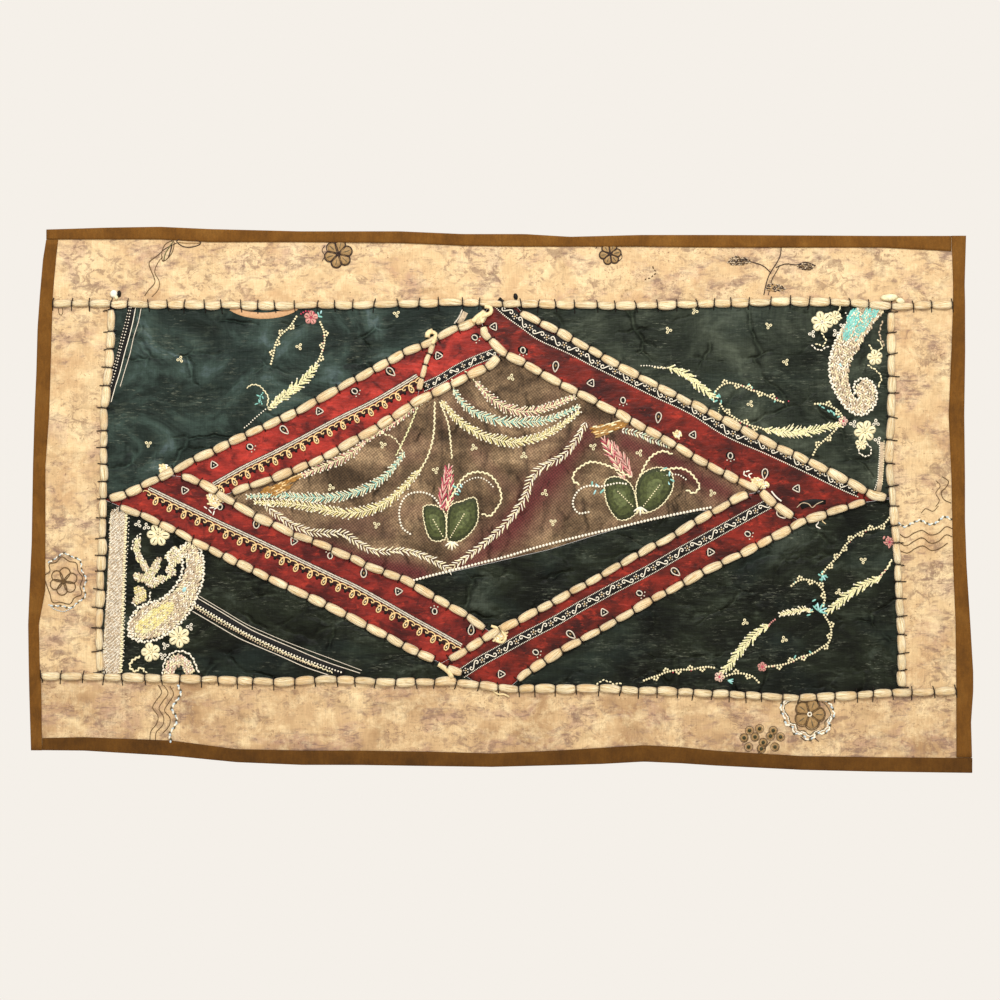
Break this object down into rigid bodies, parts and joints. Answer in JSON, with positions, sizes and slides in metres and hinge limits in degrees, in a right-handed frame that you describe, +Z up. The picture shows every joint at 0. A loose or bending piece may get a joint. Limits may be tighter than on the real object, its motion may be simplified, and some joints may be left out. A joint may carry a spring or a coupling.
{
  "type": "embroidered patchwork wall hanging",
  "caption": "Oblong bound patchwork wall hanging with a diamond of embroidered strips and padded yarn braid sewn over every seam.",
  "frame": {"origin": "over the middle of the hanging's top edge, in the plane of its back", "axes": "+X to the right along the top edge as seen from the front, +Y towards the wall behind it, +Z up"},
  "size_m": [1.039, 0.0106, 0.6005],
  "materials": {
    "binding_cotton": "plain woven brown cotton, folded and hemmed",
    "cream_silk": "aged cream silk with brown and grey mottling",
    "dark_silk": "dark green-black silk with a soft sheen",
    "red_silk": "deep red silk with couched cord and bead edging",
    "brown_net": "brown net over dark silk, embroidered",
    "yarn_braid": "padded cream yarn, drawn in by dark stitches"
  },
  "bodies": {
    "root": {"binding_bottom": "binding_cotton", "binding_left": "binding_cotton", "binding_right": "binding_cotton", "binding_top": "binding_cotton", "border_bottom": "cream_silk", "border_left": "cream_silk", "border_right": "cream_silk", "border_top": "cream_silk", "braid_bottom": "yarn_braid", "braid_corner": "yarn_braid", "braid_cross": "yarn_braid", "braid_inner_lower_left": "yarn_braid", "braid_inner_lower_right": "yarn_braid", "braid_inner_upper_left": "yarn_braid", "braid_inner_upper_right": "yarn_braid", "braid_joint": "yarn_braid", "braid_left": "yarn_braid", "braid_outer_lower_left": "yarn_braid", "braid_outer_lower_right": "yarn_braid", "braid_outer_upper_left": "yarn_braid", "braid_outer_upper_right": "yarn_braid", "braid_right": "yarn_braid", "braid_top": "yarn_braid", "centre_panel": "dark_silk", "corner_bottom_left": "dark_silk", "corner_bottom_right": "dark_silk", "corner_top_left": "dark_silk", "corner_top_right": "dark_silk", "net_panel": "brown_net", "strip_lower_left": "red_silk", "strip_lower_right": "red_silk", "strip_upper_left": "red_silk", "strip_upper_middle": "red_silk", "strip_upper_right": "red_silk"}
  },
  "joints": []
}
